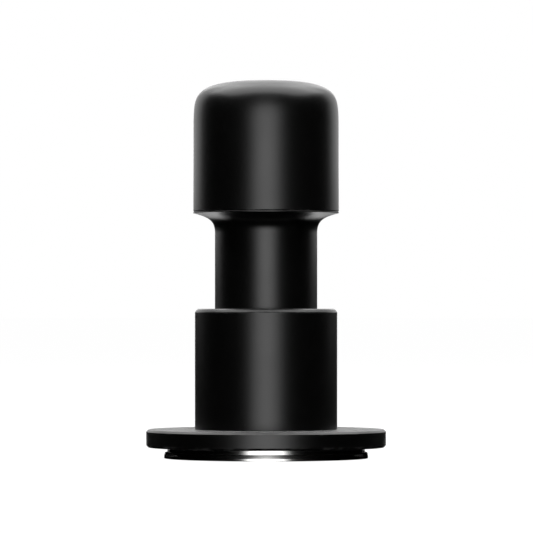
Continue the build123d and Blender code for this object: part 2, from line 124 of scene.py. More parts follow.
def rounded(corners: np.ndarray, closed: bool, steps: int = 6, hold: float = 0.22 * MM) -> Outline:
    """Rounds every corner of an outline by its own radius.

    A corner between two straight stretches that turn by an angle t becomes an arc of radius q that
    starts q tan(t / 2) before the corner. Along the arc the heading grows evenly, and the point is the
    integral of the heading's direction. A corner with no radius keeps its point, with the heading half
    way between its stretches. Each long stretch gets points near its ends, which keep wear at the edge.

    Args:
        corners: Rows of radius, height and corner radius, counterclockwise round the metal.
        closed: Whether the last corner joins the first one.
        steps: Stretches in each arc.
        hold: How far from an arc the next point of a long stretch lies.

    Returns:
        The outline, with its corners replaced by arcs.
    """
    spots, radii = corners[:, :2], corners[:, 2]
    ahead = np.roll(spots, -1, axis=0) - spots
    if not closed:
        ahead[-1] = ahead[-2]
    behind = np.roll(ahead, 1, axis=0)
    if not closed:
        behind[0] = ahead[0]
    start = np.arctan2(behind[:, 1], behind[:, 0])
    swing = (np.arctan2(ahead[:, 1], ahead[:, 0]) - start + math.pi) % TURN - math.pi
    cut = radii * np.tan(np.abs(swing) / 2)
    share = np.linspace(0, 1, steps + 1)
    heading = start[:, None] + swing[:, None] * share
    back = spots - cut[:, None] * np.stack([np.cos(start), np.sin(start)], axis=1)
    side = (radii * np.sign(swing))[:, None]
    out, up = np.sin(heading) - np.sin(start)[:, None], np.cos(start)[:, None] - np.cos(heading)
    arcs = back[:, None] + np.stack([side * out, side * up], axis=2)
    is_round = radii > TINY
    keep_arc = np.where(is_round[:, None], True, np.arange(steps + 1) == steps // 2)
    edge = np.where(is_round[:, None], 1.0, 0.0) * np.ones(steps + 1)

    length = np.hypot(ahead[:, 0], ahead[:, 1]) - cut - np.roll(cut, -1)
    way = ahead / np.maximum(np.hypot(ahead[:, 0], ahead[:, 1]), TINY)[:, None]
    leave = spots + way * cut[:, None]
    reach = np.stack([np.full_like(length, hold), length / 3, length * 2 / 3, length - hold], axis=1)
    fill_count = reach.shape[1]
    fill = leave[:, None] + way[:, None] * reach[:, :, None]
    keep_fill = np.repeat((length > fill_count * hold)[:, None], fill_count, axis=1)
    if not closed:
        keep_fill[-1] = False
    fill_heading = np.repeat(np.arctan2(ahead[:, 1], ahead[:, 0])[:, None], fill_count, axis=1)

    points = np.concatenate([arcs, fill], axis=1).reshape(-1, 2)
    keep = np.concatenate([keep_arc, keep_fill], axis=1).ravel()
    headings = np.concatenate([heading, fill_heading], axis=1).ravel()
    edges = np.concatenate([edge, np.zeros_like(fill_heading)], axis=1).ravel()
    return Outline(points[keep], headings[keep], edges[keep], closed)


def outline_rows(runs: tuple) -> np.ndarray:
    """Puts the corners and curves of an outline together.

    Args:
        runs: Corners as (radius, height) or (radius, height, corner radius), and arrays of such rows.

    Returns:
        Rows of radius, height and corner radius.
    """
    return np.concatenate([run if isinstance(run, np.ndarray) else [(*run, EDGE_BREAK)[:3]] for run in runs])


def curve_rows(radius: np.ndarray, height: np.ndarray) -> np.ndarray:
    """Makes outline rows for a smooth curve, which needs no rounding."""
    return np.stack([radius, height, np.zeros_like(radius)], axis=1)


def groove(wall: float, floor: float, start: float, end: float) -> tuple:
    """The four corners of a square groove in a wall, from one height to another."""
    return (wall, start), (floor, start), (floor, end), (wall, end)


def bezier(points: np.ndarray, count: int) -> np.ndarray:
    """Samples a cubic curve by Bernstein's formula, (1-t)^3 A + 3(1-t)^2 t B + 3(1-t) t^2 C + t^3 D.

    Args:
        points: The four control points.
        count: How many samples, ends included.

    Returns:
        One row for each sample.
    """
    t = np.linspace(0, 1, count)[:, None]
    weights = np.concatenate([(1 - t) ** 3, 3 * (1 - t) ** 2 * t, 3 * (1 - t) * t**2, t**3], axis=1)
    return weights @ points


# ---- meshes
def grid_faces(rows: int, columns: int, wrap_rows: bool) -> np.ndarray:
    """Quads between the points of a grid whose columns close into rings.

    Args:
        rows: Points along the outline or path.
        columns: Points round each ring.
        wrap_rows: Whether the last row joins the first one.

    Returns:
        Four indices for each quad, in the order that faces outwards for a counterclockwise outline.
    """
    row = np.arange(rows if wrap_rows else rows - 1)[:, None]
    column = np.arange(columns)[None, :]
    above = (row + 1) % rows
    beside = (column + 1) % columns
    here, there = row * columns, above * columns
    return np.stack([here + column, here + beside, there + beside, there + column], axis=2).reshape(-1, 4)


def make_piece(
    name: str,
    points: np.ndarray,
    faces: list,
    normals: Optional[np.ndarray] = None,
    edge: Optional[np.ndarray] = None,
) -> Object:
    """Puts points and faces into a smooth mesh object at the origin.

    Args:
        name: The piece's name.
        points: One row for each point.
        faces: Index lists, one for each face.
        normals: The surface's true direction at each point. A zero row leaves that point to Blender.
        edge: How close each point is to a worn edge, from 0 to 1.

    Returns:
        The new object, linked to the scene.
    """
    mesh = bpy.data.meshes.new(name)
    mesh.from_pydata(points, [], faces)
    if edge is not None:
        mesh.attributes.new("edge", "FLOAT", "POINT").data.foreach_set("value", edge.astype(np.float32))
    mesh.polygons.foreach_set("use_smooth", np.ones(len(mesh.polygons), dtype=bool))
    mesh.update()
    if normals is not None:
        mesh.normals_split_custom_set_from_vertices(normals)
    piece = bpy.data.objects.new(name, mesh)
    bpy.context.collection.objects.link(piece)
    return piece


def skin_rings(rings: np.ndarray, poles: Optional[np.ndarray]) -> tuple:
    """Joins rings of points into one closed surface.

    Args:
        rings: Points as rows by columns by 3, each row one ring.
        poles: Two points that close the first and last ring with fans, or None to join those rings.

    Returns:
        The points, poles last, and the faces.
    """
    rows, columns = rings.shape[:2]
    points = rings.reshape(-1, 3)
    faces = grid_faces(rows, columns, wrap_rows=poles is None).tolist()
    if poles is None:
        return points, faces
    column = np.arange(columns)
    beside = (column + 1) % columns
    first, last = np.full(columns, len(points)), np.full(columns, len(points) + 1)
    top = (rows - 1) * columns
    faces += np.stack([first, beside, column], axis=1).tolist()
    faces += np.stack([top + column, top + beside, last], axis=1).tolist()
    return np.concatenate([points, poles]), faces


def spin(radius: np.ndarray, height: np.ndarray, angle: np.ndarray) -> np.ndarray:
    """Rings of points (r cos a, r sin a, z).

    Args:
        radius: The radius of each ring.
        height: The height of each ring.
        angle: The angles of the points on every ring.

    Returns:
        Points as rings by angles by 3.
    """
    flat = radius[:, None, None] * np.stack([np.cos(angle), np.sin(angle)], axis=1)
    level = np.broadcast_to(height[:, None, None], (len(radius), len(angle), 1))
    return np.concatenate([flat, level], axis=2)


def lathe(
    name: str, outline: Outline, angle: Optional[np.ndarray] = None, shape: Optional[Callable] = None
) -> Object:
    """Carries an outline round the axis: (r, z) becomes (r cos a, r sin a, z) for each angle a.

    The normal at a point is its heading turned a quarter clockwise. Where the outline meets the axis,
    the surface closes in one pole.

    Args:
        name: The piece's name.
        outline: The half section.
        angle: The angles of the rings' points, or None for even flats.
        shape: A function from points to their offsets, for what a lathe can't cut.

    Returns:
        The turned piece.
    """
    flats = 224
    angle = np.arange(flats) * TURN / flats if angle is None else angle
    off_axis = outline.points[:, 0] > TINY
    radius, height = outline.points[off_axis].T
    heading = outline.heading[off_axis]
    rings = spin(radius, height, angle)
    normals = spin(np.sin(heading), -np.cos(heading), angle).reshape(-1, 3)
    edge = np.repeat(outline.edge[off_axis], len(angle))
    poles = None
    if not outline.closed:
        ends = outline.points[[0, -1], 1]
        poles = np.stack([np.zeros(2), np.zeros(2), ends], axis=1)
        pole_normals = np.array([[0, 0, -1], [0, 0, 1]]) * np.abs(np.cos(outline.heading[[0, -1]]))[:, None]
        normals = np.concatenate([normals, pole_normals])
        edge = np.concatenate([edge, [0, 0]])
    if shape is not None:
        offset = shape(rings)
        normals[: rings.shape[0] * rings.shape[1]][(np.abs(offset).sum(axis=2) > 0).ravel()] = 0
        rings = rings + offset
    points, faces = skin_rings(rings, poles)
    return make_piece(name, points, faces, normals, edge)


@dataclass(frozen=True)
class Coil:
    """A compression spring with closed ends, in millimetres.

    Attributes:
        coil_radius: From the spring's axis to the middle of the wire.
        wire_radius: Half the wire's thickness.
        turns: All turns, with the dead ones.
        start: The middle of the spring's first end.
        end: The middle of its other end.
        dead_turns: Turns at each end that lie on their neighbour.
        dead_gap: A dead turn's climb, in wire radii.
        tip: How far the wire's tip stands past its last ring, in wire radii.
    """

    coil_radius: float
    wire_radius: float
    turns: float
    start: Vector
    end: Vector
    dead_turns: float = 0.9
    dead_gap: float = 2.02
    tip: float = 0.2

    def piece(self, name: str) -> Object:
        """Carries the wire's round section along the coil.

        The coil's angle grows evenly. Its climb for each turn is the wire's thickness in the dead
        turns and one larger value between them, which makes up the spring's length. The section is a
        circle across the coil's tangent, and at both ends it shrinks as a hemisphere does.

        Args:
            name: The piece's name.

        Returns:
            The spring.
        """
        per_turn, round_count, cap_count = 48, 14, 6
        turn = np.linspace(0, self.turns, int(self.turns * per_turn) + 1)
        open_share = np.clip(np.minimum(turn, self.turns - turn) / self.dead_turns - 0.5, 0, 1)
        step = turn[1] - turn[0]
        middle = (open_share[1:] + open_share[:-1]) / 2
        along = self.end - self.start
        rise = along.length - 2 * self.wire_radius
        dead_climb = self.dead_gap * self.wire_radius
        open_climb = (rise - dead_climb * step * (1 - middle).sum()) / (step * middle.sum())
        climb = step * (dead_climb * (1 - middle) + open_climb * middle)
        height = self.wire_radius + np.concatenate([[0], np.cumsum(climb)])
        angle = turn * TURN
        outward = np.stack([np.cos(angle), np.sin(angle), np.zeros_like(angle)], axis=1)
        centres = outward * self.coil_radius
        centres[:, 2] = height
        tangent = np.gradient(centres, axis=0)
        tangent /= np.linalg.norm(tangent, axis=1)[:, None]

        cap = np.linspace(0, math.pi / 2, cap_count)[1:-1]
        size = np.concatenate([np.sin(cap), np.ones_like(turn), np.sin(cap[::-1])])
        lean = np.concatenate([-np.cos(cap), np.zeros_like(turn), np.cos(cap[::-1])]) * self.wire_radius
        pad = ((len(cap), len(cap)), (0, 0))
        centres, tangent, outward = (np.pad(rows, pad, mode="edge") for rows in (centres, tangent, outward))
        across = np.cross(tangent, outward)
        centres = centres + tangent * lean[:, None]
        section = np.linspace(0, TURN, round_count, endpoint=False)
        reach = outward[:, None] * np.cos(section)[:, None] + across[:, None] * -np.sin(section)[:, None]
        rings = centres[:, None] + reach * (self.wire_radius * size)[:, None, None]
        reach_out = np.array([[-1], [1]]) * self.tip * self.wire_radius
        tips = centres[[0, -1]] + tangent[[0, -1]] * reach_out
        points, faces = skin_rings(rings, tips)
        turned = np.array(Vector((0, 0, 1)).rotation_difference(along).to_matrix())
        return make_piece(name, (points @ turned.T + np.array(self.start)) * MM, faces)


# ---- shader groups
def empty_tree(owner: Union[Material, bpy.types.World]) -> NodeTree:
    """Gives a material or a world a node tree with nothing in it.

    Args:
        owner: The material or world.

    Returns:
        The empty tree.
    """
    owner.use_nodes = True
    owner.node_tree.nodes.clear()
    return owner.node_tree


# What a shader input takes: a socket to link, or a plain value.
Feed = Union[NodeSocket, float, tuple]


class Graph:
    """A node tree with short ways to add and join its nodes."""

    def __init__(self, tree: NodeTree) -> None:
        """Keeps the tree to add to."""
        self.tree = tree

    def add(self, kind: str, **settings: object) -> Node:
        """Adds a node.

        Args:
            kind: The node's type, without its ShaderNode prefix.
            settings: The node's own properties.

        Returns:
            The new node.
        """
        node = self.tree.nodes.new(kind if kind.startswith("NodeGroup") else "ShaderNode" + kind)
        for key, value in settings.items():
            setattr(node, key, value)
        return node

    def join(self, source: Feed, target: NodeSocket) -> None:
        """Links a socket to an input, or sets the input to a plain value.

        Args:
            source: The socket or value.
            target: The input.
        """
        if isinstance(source, NodeSocket):
            self.tree.links.new(source, target)
        else:
            target.default_value = source

    def math(self, operation: str, *values: Feed, clamp: bool = False) -> NodeSocket:
        """Adds one sum, product or other operation on sockets or numbers.

        Args:
            operation: Blender's name for it.
            values: What it works on.
            clamp: Whether the result is held between 0 and 1.

        Returns:
            The result.
        """
        node = self.add("Math", operation=operation, use_clamp=clamp)
        for value, socket in zip(values, node.inputs):
            self.join(value, socket)
        return node.outputs[0]

    def ramp(
        self,
        value: Feed,
        low: Feed,
        high: Feed,
        to_low: Feed = 0.0,
        to_high: Feed = 1.0,
        smooth: bool = True,
    ) -> NodeSocket:
        """Maps a value from one range to another, clamped.

        Args:
            value: The value to map.
            low: Where its range starts.
            high: Where its range ends.
            to_low: What the start becomes.
            to_high: What the end becomes.
            smooth: Whether the map eases in and out.

        Returns:
            The mapped value.
        """
        node = self.add("MapRange", interpolation_type="SMOOTHSTEP" if smooth else "LINEAR")
        for socket, item in zip(node.inputs, (value, low, high, to_low, to_high)):
            self.join(item, socket)
        return node.outputs[0]

    def noise(self, vector: Feed, scale: Feed, detail: float = 2.0, roughness: float = 0.5) -> NodeSocket:
        """Adds fractal noise.

        Args:
            vector: Where it is read.
            scale: Its grains for each metre.
            detail: How many finer layers it has.
            roughness: How strong each finer layer is.

        Returns:
            The noise's value.
        """
        node = self.add("TexNoise")
        given = {"Vector": vector, "Scale": scale, "Detail": detail, "Roughness": roughness}
        for socket, item in given.items():
            self.join(item, node.inputs[socket])
        return node.outputs[0]

    def blend(self, share: Feed, first: Feed, second: Feed) -> NodeSocket:
        """Mixes two colours.

        Args:
            share: How much of the second there is.
            first: The colour at share 0.
            second: The colour at share 1.

        Returns:
            The mixed colour.
        """
        node = self.add("Mix", data_type="RGBA")
        colours = [socket for socket in node.inputs if socket.type == "RGBA"]
        for socket, item in zip((node.inputs[0], *colours), (share, first, second)):
            self.join(item, socket)
        return next(socket for socket in node.outputs if socket.type == "RGBA")

    def either(self, share: Feed, first: Node, second: Node) -> Node:
        """Mixes two shaders.

        Args:
            share: How much of the second there is.
            first: The shader at share 0.
            second: The shader at share 1.

        Returns:
            The mixing node.
        """
        node = self.add("MixShader")
        for socket, item in zip(node.inputs, (share, first.outputs[0], second.outputs[0])):
            self.join(item, socket)
        return node


class ShaderGroups:
    """The effects that several finishes share, each a node group built once."""

    def __init__(self) -> None:
        """Builds every group."""
        self.blasted = self._blasted()
        self.turned = self._turned()
        self.worn = self._worn()
        self.dusty = self._dusty()
        self.handled = self._handled()

    @staticmethod
    def _new(name: str, inputs: dict, outputs: tuple) -> tuple:
        """Starts a group with named sockets.

        Args:
            name: The group's name.
            inputs: A default value for each input. A tuple makes a vector input.
            outputs: The names of the outputs, all plain numbers.

        Returns:
            The group's graph, its input node's sockets and its output node's sockets.
        """
        tree = bpy.data.node_groups.new(name, "ShaderNodeTree")
        for key, value in inputs.items():
            kind = "NodeSocketVector" if isinstance(value, tuple) else "NodeSocketFloat"
            tree.interface.new_socket(key, in_out="INPUT", socket_type=kind).default_value = value
        for key in outputs:
            tree.interface.new_socket(key, in_out="OUTPUT", socket_type="NodeSocketFloat")
        graph = Graph(tree)
        return graph, graph.add("NodeGroupInput").outputs, graph.add("NodeGroupOutput").inputs

    def _blasted(self) -> NodeTree:
        """Bead-blasted grain: fine noise for the pits, with a slower noise for the bath's mottling.

        Returns:
            The group.
        """
        inputs = {"Vector": ORIGIN, "Scale": 4000.0}
        graph, given, out = self._new("bead_blasting", inputs, ("Pits", "Mottle"))
        graph.join(graph.noise(given["Vector"], given["Scale"], roughness=0.6), out["Pits"])
        slowness = 0.06
        slow = graph.math("MULTIPLY", given["Scale"], slowness)
        graph.join(graph.noise(given["Vector"], slow, detail=3.0, roughness=0.55), out["Mottle"])
        return graph.tree

    def _turned(self) -> NodeTree:
        """Lathe marks: a sine of radius plus height, so rings on faces and hoops on walls, made uneven.

        Returns:
            The group.
        """
        graph, given, out = self._new("lathe_marks", {"Vector": ORIGIN, "Pitch": 0.0002}, ("Marks", "Bands"))
        unevenness, bands_per_metre = 5.0, 900.0
        parts = graph.add("SeparateXYZ")
        graph.join(given["Vector"], parts.inputs[0])
        across, beside, above = parts.outputs
        square = graph.math("ADD", graph.math("POWER", across, 2.0), graph.math("POWER", beside, 2.0))
        reach = graph.math("ADD", graph.math("SQRT", square), above)
        phase = graph.math("MULTIPLY", graph.math("DIVIDE", reach, given["Pitch"]), TURN)
        waver = graph.math("MULTIPLY", graph.noise(given["Vector"], scale=180.0), unevenness)
        wave = graph.math("SINE", graph.math("ADD", phase, waver))
        graph.join(graph.ramp(wave, low=-1.0, high=1.0, smooth=False), out["Marks"])
        band = graph.add("TexNoise", noise_dimensions="1D")
        graph.join(graph.math("MULTIPLY", reach, bands_per_metre), band.inputs["W"])
        graph.join(band.outputs[0], out["Bands"])
        return graph.tree

    def _worn(self) -> NodeTree:
        """Wear: the edge attribute, broken up by noise so that it comes and goes along an edge.

        Returns:
            The group.
        """
        inputs = {"Vector": ORIGIN, "Edge": 0.0, "Amount": 0.5}
        graph, given, out = self._new("edge_wear", inputs, ("Mask",))
        patches = graph.noise(given["Vector"], scale=420.0, detail=4.0, roughness=0.65)
        broken = graph.ramp(patches, low=0.42, high=0.7)
        on_edge = graph.math("MULTIPLY", broken, given["Edge"])
        graph.join(graph.math("MULTIPLY", on_edge, given["Amount"]), out["Mask"])
        return graph.tree

    def _dusty(self) -> NodeTree:
        """Dust: it lies where a surface is level, as specks on a thin film.

        Returns:
            The group.
        """
        inputs = {"Vector": ORIGIN, "Normal": UP, "Amount": 0.2}
        graph, given, out = self._new("settled_dust", inputs, ("Mask",))
        parts = graph.add("SeparateXYZ")
        graph.join(given["Normal"], parts.inputs[0])
        faces_up = graph.ramp(parts.outputs[2], low=0.96, high=0.999)
        fine = graph.noise(given["Vector"], scale=2600.0, detail=1.0, roughness=0.4)
        specks = graph.ramp(fine, low=0.62, high=0.78)
        broad = graph.noise(given["Vector"], scale=160.0, detail=4.0, roughness=0.6)
        film = graph.ramp(broad, low=0.3, high=0.8, to_low=0.3, to_high=0.5)
        laid = graph.math("MULTIPLY", graph.math("MAXIMUM", specks, film), faces_up)
        graph.join(graph.math("MULTIPLY", laid, given["Amount"]), out["Mask"])
        return graph.tree

    def _handled(self) -> NodeTree:
        """Handling: broad patches where skin has left the surface a little smoother or duller.

        Returns:
            The group.
        """
        graph, given, out = self._new("handling", {"Vector": ORIGIN, "Scale": 55.0}, ("Patches",))
        warp_share, warp_reach = 0.5, 0.012
        warp = graph.noise(given["Vector"], graph.math("MULTIPLY", given["Scale"], warp_share))
        bent = graph.add("VectorMath", operation="MULTIPLY_ADD")
        graph.join((warp_reach,) * 3, bent.inputs[1])
        graph.join(warp, bent.inputs[0])
        graph.join(given["Vector"], bent.inputs[2])
        patches = graph.noise(bent.outputs[0], given["Scale"], detail=5.0, roughness=0.6)
        graph.join(graph.ramp(patches, low=0.3, high=0.7), out["Patches"])
        return graph.tree


# ---- finishes
class FinishSheet(Graph):
    """One material being built: its nodes, its shader and the inputs that every finish reads."""

    def __init__(self, slot: Slot) -> None:
        """Starts a node material named after its slot.

        Args:
            slot: The record's slot.
        """
        self.material = bpy.data.materials.new(slot.value)
        super().__init__(empty_tree(self.material))
        self.shader = self.add("BsdfPrincipled")
        self.join(self.shader.outputs[0], self.add("OutputMaterial").inputs[0])
        self.place = self.add("TexCoord").outputs["Object"]
        self.normal = self.add("NewGeometry").outputs["Normal"]
        self.edge = self.add("Attribute", attribute_name="edge").outputs["Fac"]

    def effect(self, tree: NodeTree, **values: Feed) -> NodeOutputs:
        """Places a shader group with its own values.

        Args:
            tree: The group.
            values: The group's inputs by name.

        Returns:
            The group node's outputs.
        """
        node = self.add("Group", node_tree=tree)
        for key, value in values.items():
            self.join(value, node.inputs[key])
        return node.outputs

    def set(self, **values: Feed) -> None:
        """Sets or links the shader's inputs, with _ for the spaces in their names."""
        for key, value in values.items():
            self.join(value, self.shader.inputs[key.replace("_", " ")])

    def bump(self, height: NodeSocket, depth: float) -> None:
        """Raises the surface by a height map.

        Args:
            height: The height map, from 0 to 1.
            depth: How far a height of 1 rises, in metres.
        """
        bump = self.add("Bump")
        self.join(1.0, bump.inputs["Strength"])
        self.join(depth, bump.inputs["Distance"])
        self.join(height, bump.inputs["Height"])
        self.join(bump.outputs[0], self.shader.inputs["Normal"])


def colour(value: tuple) -> tuple:
    """A linear colour with full alpha."""
    return (*value, 1.0)


@dataclass(frozen=True)
class Finish:
    """What every finish has: the record's slot, and the way its material is made.

    Attributes:
        slot: The record's slot.
    """

    slot: Slot

    def build(self, groups: ShaderGroups) -> Material:
        """Makes the material.

        Args:
            groups: The shared shader groups.

        Returns:
            The material.
        """
        sheet = FinishSheet(self.slot)
        self.paint(sheet, groups)
        return sheet.material


@dataclass(frozen=True)
class Anodising(Finish):
    """Bead-blasted, black-dyed anodised aluminium, with bare metal where its edges wear.

    The dye fades in patches, dust lies on level faces, handling polishes, and the blasted surface
    shines at a glancing view. The grain's scale is pits for each metre, and spread is how much the
    pits vary the roughness.
    """

    dye: tuple = (0.0003, 0.0003, 0.0003)
    faded: tuple = (0.0007, 0.0007, 0.0007)
    dust: tuple = (0.3, 0.3, 0.29)
    dust_amount: float = 0.12
    metal: tuple = (0.25, 0.25, 0.25)
    roughness: float = 0.37
    spread: float = 0.05
    polish: float = 0.02
    grain_scale: float = 3800.0
    grain_depth: float = 0.012 * MM
    wear: float = 0.1
    sheen: float = 1.0
    sheen_roughness: float = 0.09

    def paint(self, sheet: FinishSheet, groups: ShaderGroups) -> None:
        """Lays mottled dye, wear and dust over a blasted grain.

        Args:
            sheet: The material being built.
            groups: The shared shader groups.
        """
        grain = sheet.effect(groups.blasted, Vector=sheet.place, Scale=self.grain_scale)
        worn = sheet.effect(groups.worn, Vector=sheet.place, Edge=sheet.edge, Amount=self.wear)["Mask"]
        dust = sheet.effect(groups.dusty, Vector=sheet.place, Normal=sheet.normal, Amount=self.dust_amount)
        handled = sheet.effect(groups.handled, Vector=sheet.place)["Patches"]
        mottle = sheet.ramp(grain["Mottle"], low=0.35, high=0.7)
        dyed = sheet.blend(mottle, colour(self.dye), colour(self.faded))
        with_wear = sheet.blend(worn, dyed, colour(self.metal))
        dull = sheet.math("MULTIPLY_ADD", grain["Pits"], self.spread, self.roughness - self.spread / 2)
        sheet.set(
            Base_Color=sheet.blend(dust["Mask"], with_wear, colour(self.dust)),
            Metallic=worn,
            Roughness=sheet.math("MULTIPLY_ADD", handled, -self.polish, dull, clamp=True),
            Sheen_Weight=self.sheen,
            Sheen_Roughness=self.sheen_roughness,
        )
        sheet.bump(grain["Pits"], self.grain_depth)


@dataclass(frozen=True)
class TurnedMetal(Finish):
    """Bare metal with lathe or grinding marks, dull in bands and bright where edges are rubbed.

    Spread is how much rougher the dull bands are. Pitch and depth are the marks', in millimetres, and
    handled_tone is how much of a band's dullness handling leaves.
    """

    bright: tuple
    dark: tuple
    roughness: float
    spread: float
    pitch: float
    depth: float
    wear: float = 0.3
    handled_tone: float = 0.6

    def paint(self, sheet: FinishSheet, groups: ShaderGroups) -> None:
        """Lays dull bands and rubbed edges over the lathe's marks.

        Args:
            sheet: The material being built.
            groups: The shared shader groups.
        """
        marks = sheet.effect(groups.turned, Vector=sheet.place, Pitch=self.pitch * MM)
        handled = sheet.effect(groups.handled, Vector=sheet.place)["Patches"]
        worn = sheet.effect(groups.worn, Vector=sheet.place, Edge=sheet.edge, Amount=self.wear)["Mask"]
        bands = sheet.ramp(marks["Bands"], low=0.35, high=0.65)
        tone = sheet.math("MULTIPLY", bands, sheet.ramp(handled, low=0.0, high=1.0, to_low=self.handled_tone))
        rough = sheet.math("MULTIPLY_ADD", tone, self.spread, self.roughness)
        dulled = sheet.math("SUBTRACT", tone, worn, clamp=True)
        sheet.set(
            Base_Color=sheet.blend(dulled, colour(self.bright), colour(self.dark)),
            Metallic=1.0,
            Roughness=rough,
        )
        sheet.bump(marks["Marks"], self.depth * MM)


@dataclass(frozen=True)
class Moulded(Finish):
    """Rubber or PTFE: dull, a little uneven, with a fine skin. Scales are bumps or patches for each metre."""

    body: tuple
    patchy: tuple
    roughness: float
    grain_scale: float = 3000.0
    grain_depth: float = 0.01 * MM
    patch_scale: float = 120.0
    spread: float = 0.1

    def paint(self, sheet: FinishSheet, groups: ShaderGroups) -> None:
        """Lays patches over a fine skin.

        Args:
            sheet: The material being built.
            groups: The shared shader groups.
        """
        grain = sheet.effect(groups.blasted, Vector=sheet.place, Scale=self.grain_scale)
        handled = sheet.effect(groups.handled, Vector=sheet.place, Scale=self.patch_scale)["Patches"]
        sheet.set(
            Base_Color=sheet.blend(handled, colour(self.body), colour(self.patchy)),
            Roughness=sheet.math("MULTIPLY_ADD", grain["Mottle"], self.spread, self.roughness),
        )
        sheet.bump(grain["Pits"], self.grain_depth)


def build_finishes() -> dict:
    """Builds every finish of the tamper.

    Returns:
        A material for each Slot.
    """
    groups = ShaderGroups()
    finishes = (
        Anodising(Slot.ANODISED),
        TurnedMetal(Slot.BARE_ALUMINIUM, (0.62, 0.63, 0.64), (0.5, 0.51, 0.52), 0.28, 0.1, 0.16, 0.002),
        TurnedMetal(Slot.POLISHED_STEEL, (0.62, 0.62, 0.61), (0.58, 0.58, 0.57), 0.175, 0.03, 0.09, 0.00004),
        TurnedMetal(Slot.GROUND_STEEL, (0.55, 0.55, 0.55), (0.42, 0.42, 0.42), 0.24, 0.1, 0.12, 0.0012),
        TurnedMetal(Slot.HARDENED_STEEL, (0.16, 0.16, 0.17), (0.07, 0.07, 0.08), 0.34, 0.12, 0.15, 0.002),
        TurnedMetal(Slot.SPRING_STEEL, (0.42, 0.42, 0.43), (0.3, 0.3, 0.31), 0.26, 0.1, 0.08, 0.001),
        TurnedMetal(Slot.BRONZE, (0.62, 0.42, 0.2), (0.45, 0.28, 0.12), 0.26, 0.12, 0.14, 0.002),
        Moulded(Slot.RUBBER, (0.02, 0.02, 0.02), (0.028, 0.028, 0.028), 0.6),
        Moulded(Slot.POLYMER, (0.8, 0.79, 0.74), (0.74, 0.73, 0.68), 0.42, 900.0, 0.006 * MM),
    )
    return {finish.slot: finish.build(groups) for finish in finishes}


# ---- sub-assemblies
@dataclass(frozen=True)
class Span:
    """A CAD node's radius from the axis, and its lowest and highest points, in millimetres."""

    radius: float
    bottom: float
    top: float

    @classmethod
    def of(cls, node: str) -> "Span":
        """Reads a node's span from the frame."""
        low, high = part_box(node)
        return cls(high[0] / MM, low[2] / MM, high[2] / MM)


@dataclass
class SubAssembly:
    """Pieces that are built and dressed together. Each kind's other sizes are in millimetres.

    Attributes:
        finishes: The material of each Slot.
        pieces: The new pieces so far.
    """

    finishes: dict
    pieces: list = field(default_factory=list)

    def fit(self, piece: Object, node: str, body: Body, slot: Slot) -> None:
        """Dresses a new piece and puts it in its CAD node's place.

        Args:
            piece: The new piece.
            node: The CAD node that it stands for.
            body: The body that it rides on.
            slot: The finish.
        """
        piece.data.materials.append(self.finishes[slot])
        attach(piece, body.value)
        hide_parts(node)
        self.pieces.append(piece)
        LOG.info("%s: %d faces, rides on %s", piece.name, len(piece.data.polygons), body.value)

    def dress(self, node: str, slot: Slot) -> None:
        """Gives a CAD node that is shown as it is its finish.

        Args:
            node: The CAD node.
            slot: The finish.
        """
        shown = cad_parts[node]
        shown.data.materials.clear()
        shown.data.materials.append(self.finishes[slot])
        LOG.info("%s: the CAD piece, finished as %s", node, slot.value)

    def turn(
        self,
        node: str,
        body: Body,
        slot: Slot,
        *runs: Union[tuple, np.ndarray],
        angle: Optional[np.ndarray] = None,
        shape: Optional[Callable] = None,
    ) -> None:
        """Turns a piece on the lathe and fits it.

        Args:
            node: The CAD node that it stands for.
            body: The body that it rides on.
            slot: The finish.
            runs: The outline's corners and curves. One that starts on the axis also ends there.
            angle: The angles of the rings' points, or None for even flats.
            shape: A function from points to their offsets, for what a lathe can't cut.
        """
        rows = outline_rows(runs) * MM
        outline = rounded(rows, closed=rows[0, 0] > TINY)
        self.fit(lathe(f"{node}_turned", outline, angle, shape), node, body, slot)

    def ring(self, node: str, body: Body, slot: Slot, bore: float, corner: float = CRISP) -> None:
        """Turns a plain ring over its CAD node's span.

        Args:
            node: The CAD node that it stands for.
            body: The body that it rides on.
            slot: The finish.
            bore: The ring's inner radius.
            corner: The radius of its four corners.
        """
        span = Span.of(node)
        ends = ((bore, span.bottom), (span.radius, span.bottom), (span.radius, span.top), (bore, span.top))
        self.turn(node, body, slot, *((*end, corner) for end in ends))

    def wind(
        self, node: str, body: Body, coil: Coil, joint: str, axis: tuple, fixed: Vector, stroke: float
    ) -> None:
        """Winds a spring and fits it.

        Args:
            node: The CAD node that it stands for.
            body: The body that it rides on.
            coil: The spring.
            joint: The joint that squeezes it. Not used.
            axis: The way along it. Not used.
            fixed: The end that stays where it is. Not used.
            stroke: How much shorter it is at the joint's limit. Not used.
        """
        spring = coil.piece(f"{node}_wound")
        self.fit(spring, node, body, Slot.SPRING_STEEL)
        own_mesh(spring)


